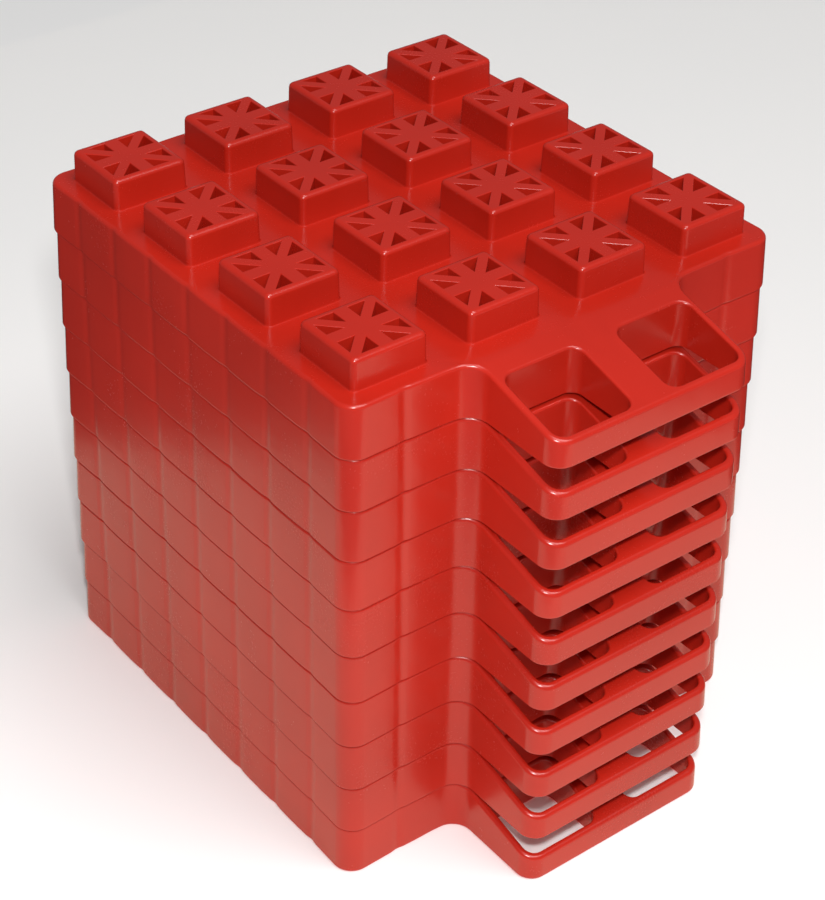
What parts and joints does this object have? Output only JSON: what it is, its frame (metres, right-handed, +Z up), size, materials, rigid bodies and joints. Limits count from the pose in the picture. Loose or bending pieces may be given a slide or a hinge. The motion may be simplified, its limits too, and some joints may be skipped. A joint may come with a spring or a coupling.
{
  "type": "leveling block set",
  "caption": "Stack of interlocking square leveling blocks with square pegs on top, matching sockets underneath and a two-finger handle on one side.",
  "frame": {"origin": "middle of the whole stack's footprint, handles included, at ground level under the lowest block's rim", "axes": "+Z up through the stack, +X along the side that carries the handle, +Y from the handles to the plain side opposite"},
  "size_m": [0.216, 0.264, 0.2484],
  "materials": {
    "red_plastic": "glossy injection-moulded red plastic"
  },
  "bodies": {
    "block_01": {"block_01": "red_plastic"},
    "block_02": {"block_02": "red_plastic"},
    "block_03": {"block_03": "red_plastic"},
    "block_04": {"block_04": "red_plastic"},
    "block_05": {"block_05": "red_plastic"},
    "block_06": {"block_06": "red_plastic"},
    "block_07": {"block_07": "red_plastic"},
    "block_08": {"block_08": "red_plastic"},
    "block_09": {"block_09": "red_plastic"},
    "block_10": {"block_10": "red_plastic"}
  },
  "joints": [
    {"name": "lift_02", "type": "slide", "parent": "block_01", "child": "block_02", "axis": [0, 0, 1], "range_m": [0, 0.04]},
    {"name": "lift_03", "type": "slide", "parent": "block_02", "child": "block_03", "axis": [0, 0, 1], "range_m": [0, 0.04]},
    {"name": "lift_04", "type": "slide", "parent": "block_03", "child": "block_04", "axis": [0, 0, 1], "range_m": [0, 0.04]},
    {"name": "lift_05", "type": "slide", "parent": "block_04", "child": "block_05", "axis": [0, 0, 1], "range_m": [0, 0.04]},
    {"name": "lift_06", "type": "slide", "parent": "block_05", "child": "block_06", "axis": [0, 0, 1], "range_m": [0, 0.04]},
    {"name": "lift_07", "type": "slide", "parent": "block_06", "child": "block_07", "axis": [0, 0, 1], "range_m": [0, 0.04]},
    {"name": "lift_08", "type": "slide", "parent": "block_07", "child": "block_08", "axis": [0, 0, 1], "range_m": [0, 0.04]},
    {"name": "lift_09", "type": "slide", "parent": "block_08", "child": "block_09", "axis": [0, 0, 1], "range_m": [0, 0.04]},
    {"name": "lift_10", "type": "slide", "parent": "block_09", "child": "block_10", "axis": [0, 0, 1], "range_m": [0, 0.04]}
  ]
}
